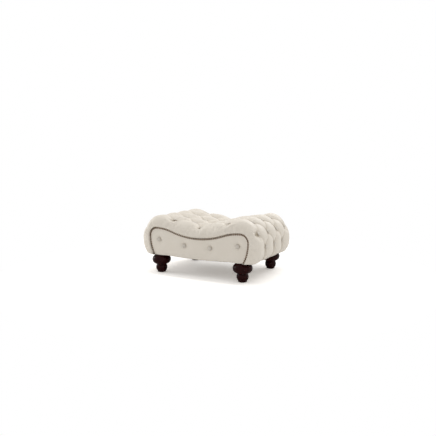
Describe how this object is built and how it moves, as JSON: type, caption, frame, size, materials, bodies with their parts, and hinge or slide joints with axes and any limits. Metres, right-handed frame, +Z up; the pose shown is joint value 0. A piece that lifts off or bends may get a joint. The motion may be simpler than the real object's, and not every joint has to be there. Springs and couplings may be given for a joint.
{
  "type": "footstool",
  "caption": "Deep-buttoned saddle footstool in cream leather with rolled ends, nailed panels front and back, and dark turned bun feet.",
  "frame": {"origin": "on the floor, midway between the four feet", "axes": "+Z up, +X across the width to the viewer's right, the front panel faces -Y"},
  "size_m": [0.7158, 0.471, 0.3142],
  "materials": {
    "cover_leather": "smooth semi-aniline cream leather",
    "foot_wood": "dark mahogany stain under gloss lacquer",
    "antique_nails": "antique bronze upholstery nails",
    "frame_plywood": "raw birch plywood and beech",
    "foam": "upholstery foam and wadding",
    "zinc_steel": "zinc-plated steel",
    "twine": "waxed flax twine",
    "cambric": "black non-woven cambric",
    "glide_nylon": "brown nylon glide"
  },
  "bodies": {
    "root": {"front_frame_board": "frame_plywood", "back_frame_board": "frame_plywood", "left_seat_board": "frame_plywood", "right_seat_board": "frame_plywood", "left_roll_panel": "frame_plywood", "right_roll_panel": "frame_plywood", "left_top_batten": "frame_plywood", "right_top_batten": "frame_plywood", "left_stretcher": "frame_plywood", "right_stretcher": "frame_plywood", "left_end_rail": "frame_plywood", "right_end_rail": "frame_plywood", "left_roll_rail": "frame_plywood", "right_roll_rail": "frame_plywood", "front_facing_board": "frame_plywood", "back_facing_board": "frame_plywood", "front_left_corner_block": "frame_plywood", "front_right_corner_block": "frame_plywood", "back_left_corner_block": "frame_plywood", "back_right_corner_block": "frame_plywood", "front_left_foot": "foot_wood", "front_right_foot": "foot_wood", "back_left_foot": "foot_wood", "back_right_foot": "foot_wood", "front_left_glide": "glide_nylon", "front_right_glide": "glide_nylon", "back_left_glide": "glide_nylon", "back_right_glide": "glide_nylon", "tufted_cover": "cover_leather", "front_facing_leather": "cover_leather", "back_facing_leather": "cover_leather", "seat_buttons": "cover_leather", "left_roll_buttons": "cover_leather", "right_roll_buttons": "cover_leather", "front_panel_buttons": "cover_leather", "back_panel_buttons": "cover_leather", "seat_foam": "foam", "front_edge_roll": "foam", "back_edge_roll": "foam", "front_facing_pad": "foam", "back_facing_pad": "foam", "front_nail_trim": "antique_nails", "back_nail_trim": "antique_nails", "hanger_bolts": "zinc_steel", "tee_nuts": "zinc_steel", "frame_screws": "zinc_steel", "twine_washers": "zinc_steel", "button_twines": "twine", "dust_cover": "cambric"}
  },
  "joints": []
}
